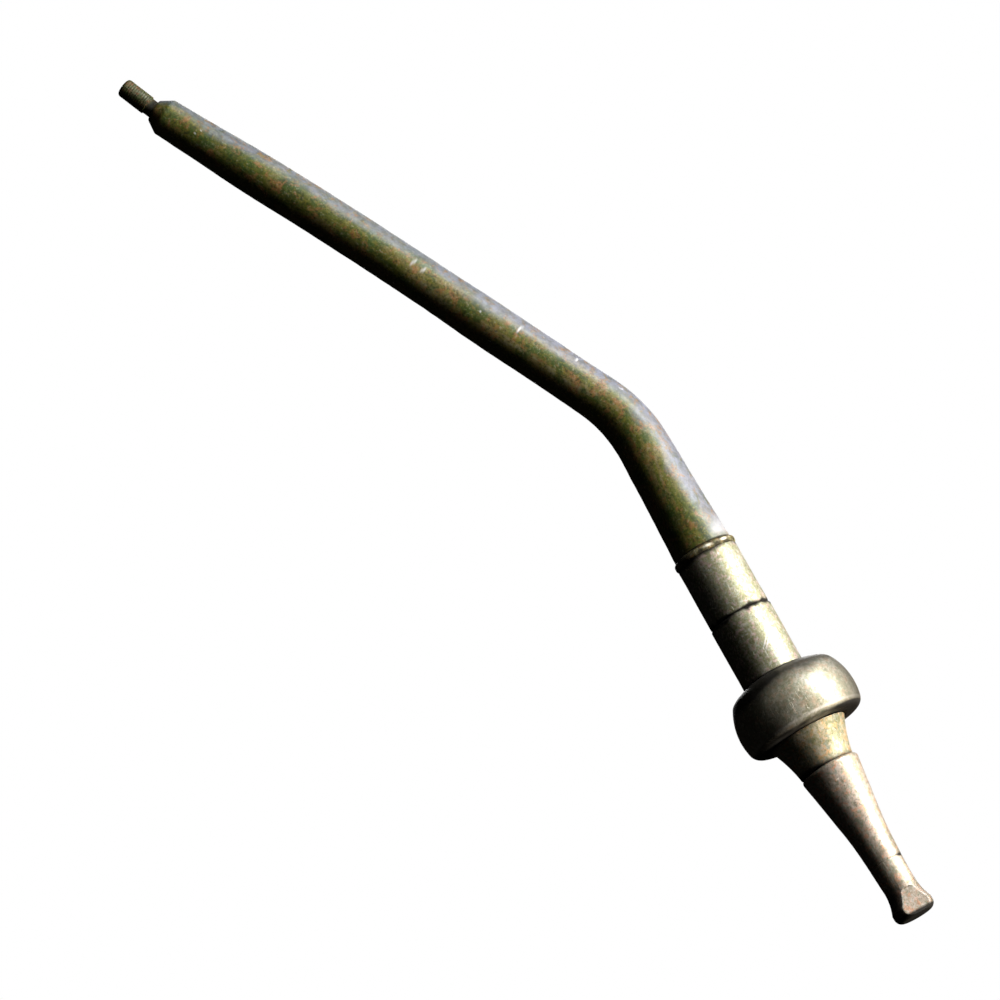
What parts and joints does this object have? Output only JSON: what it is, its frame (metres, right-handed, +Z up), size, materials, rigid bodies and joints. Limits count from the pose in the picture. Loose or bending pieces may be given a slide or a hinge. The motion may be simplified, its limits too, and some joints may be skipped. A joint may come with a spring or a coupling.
{
  "type": "gear shift arm",
  "caption": "Bent floor gear lever with a knob stud, ringed shank, turning half-ball fulcrum, flared neck and tapered selector finger with a flatted, flared tip.",
  "frame": {"origin": "centre of the half-ball's sphere, which is the point the arm swings about in its socket", "axes": "+Z up the shank's axis towards the knob end, the arm above its bend leans back towards -X, and the tip's flats face -Y and +Y"},
  "size_m": [0.1457, 0.0508, 0.4437],
  "materials": {
    "arm_paint": "old olive-grey paint worn to brown steel, satin",
    "stud_steel": "dark rusted steel, rough",
    "ring_brass": "dull brass wire",
    "shank_steel": "bare handled steel with a khaki tint, satin",
    "ball_steel": "bare polished steel gone grey, satin",
    "collar_steel": "heat-tinted straw-coloured steel, satin",
    "finger_steel": "worn warm grey-brown steel, satin",
    "bush_bronze": "bearing bronze, satin",
    "pin_steel": "ground steel, satin"
  },
  "bodies": {
    "fulcrum": {"fulcrum_half_ball": "ball_steel", "ball_bush": "bush_bronze"},
    "arm": {"upper_arm": "arm_paint", "knob_stud": "stud_steel", "retaining_ring": "ring_brass", "upper_sleeve": "shank_steel", "lower_sleeve": "shank_steel", "sleeve_dowels": "pin_steel", "upper_thrust_washer": "bush_bronze", "lower_thrust_washer": "bush_bronze", "neck_collar": "collar_steel", "selector_finger": "finger_steel", "finger_rivet": "pin_steel", "finger_tip": "finger_steel", "tip_rivet": "pin_steel"}
  },
  "joints": [
    {"name": "arm_turn", "type": "hinge", "parent": "fulcrum", "child": "arm", "pos_m": [-0.0012, 0, 0], "axis": [0, 0, 1], "continuous": true}
  ]
}
